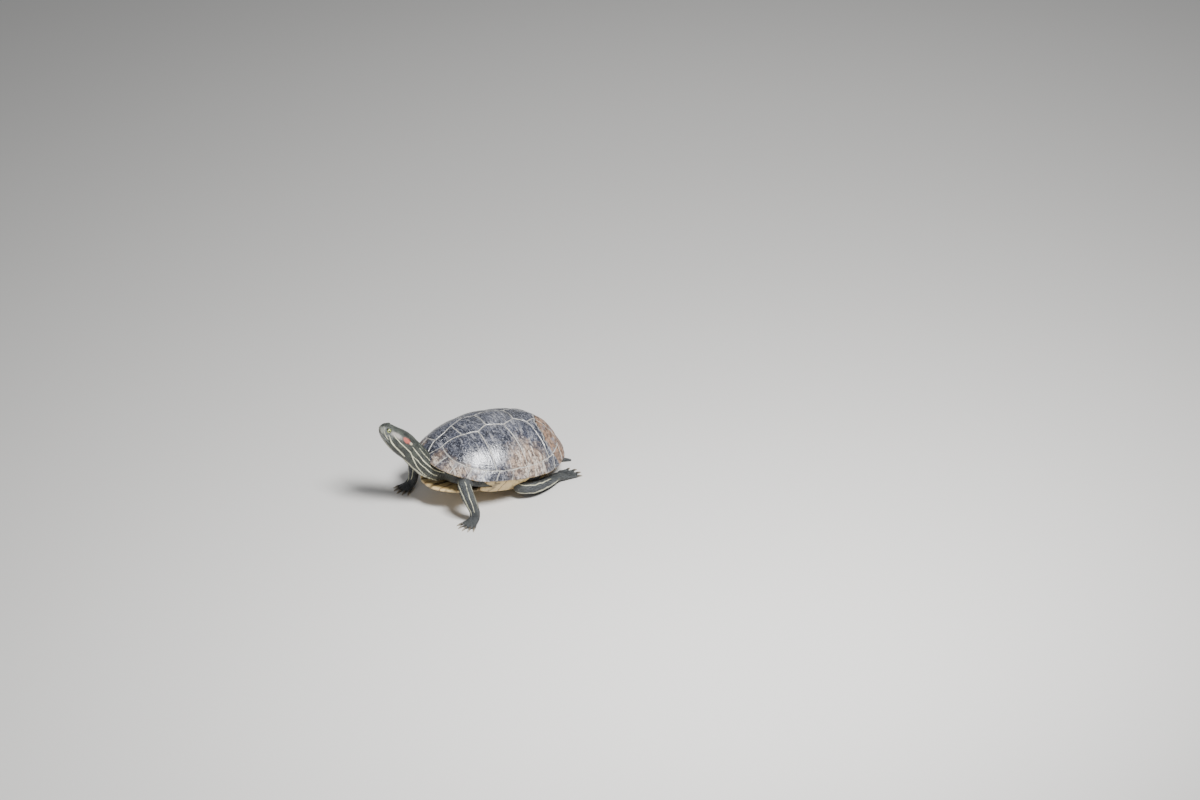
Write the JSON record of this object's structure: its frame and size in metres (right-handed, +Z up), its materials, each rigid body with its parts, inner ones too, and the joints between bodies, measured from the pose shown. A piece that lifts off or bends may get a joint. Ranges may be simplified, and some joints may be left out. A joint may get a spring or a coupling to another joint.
{
  "type": "red-eared slider turtle",
  "caption": "Basking pond turtle propped on its forelegs with the neck stretched up and turned, hind legs and tail laid back on the floor.",
  "frame": {"origin": "on the floor, under the middle of the whole animal's bounding box", "axes": "+Z up, the animal faces -Y, its left side is +X"},
  "size_m": [0.1824, 0.2764, 0.1395],
  "materials": {
    "skin": "dark olive-grey scaly skin with pale yellow stripes and a red patch behind the eye",
    "shell": "weathered blue-grey horn scutes with pale seams, growth rings and dried mud, half glossy",
    "belly": "yellow horn scutes with orange-brown stains",
    "claw": "translucent dark horn, smooth",
    "eye": "wet, pale yellow-green iris with a dark pupil and bar"
  },
  "bodies": {
    "root": {"bridge_left": "belly", "bridge_right": "belly", "carapace": "shell", "eye_left": "eye", "eye_right": "eye", "head": "skin", "left_forearm": "skin", "left_forefoot": "skin", "left_forefoot_claw_1": "claw", "left_forefoot_claw_2": "claw", "left_forefoot_claw_3": "claw", "left_forefoot_claw_4": "claw", "left_forefoot_claw_5": "claw", "left_hind_foot": "skin", "left_hind_foot_claw_1": "claw", "left_hind_foot_claw_2": "claw", "left_hind_foot_claw_3": "claw", "left_hind_foot_claw_4": "claw", "left_shank": "skin", "left_thigh": "skin", "left_upper_arm": "skin", "lower_jaw": "skin", "neck": "skin", "plastron": "belly", "right_forearm": "skin", "right_forefoot": "skin", "right_forefoot_claw_1": "claw", "right_forefoot_claw_2": "claw", "right_forefoot_claw_3": "claw", "right_forefoot_claw_4": "claw", "right_forefoot_claw_5": "claw", "right_hind_foot": "skin", "right_hind_foot_claw_1": "claw", "right_hind_foot_claw_2": "claw", "right_hind_foot_claw_3": "claw", "right_hind_foot_claw_4": "claw", "right_shank": "skin", "right_thigh": "skin", "right_upper_arm": "skin", "tail": "skin", "trunk": "skin"}
  },
  "joints": []
}
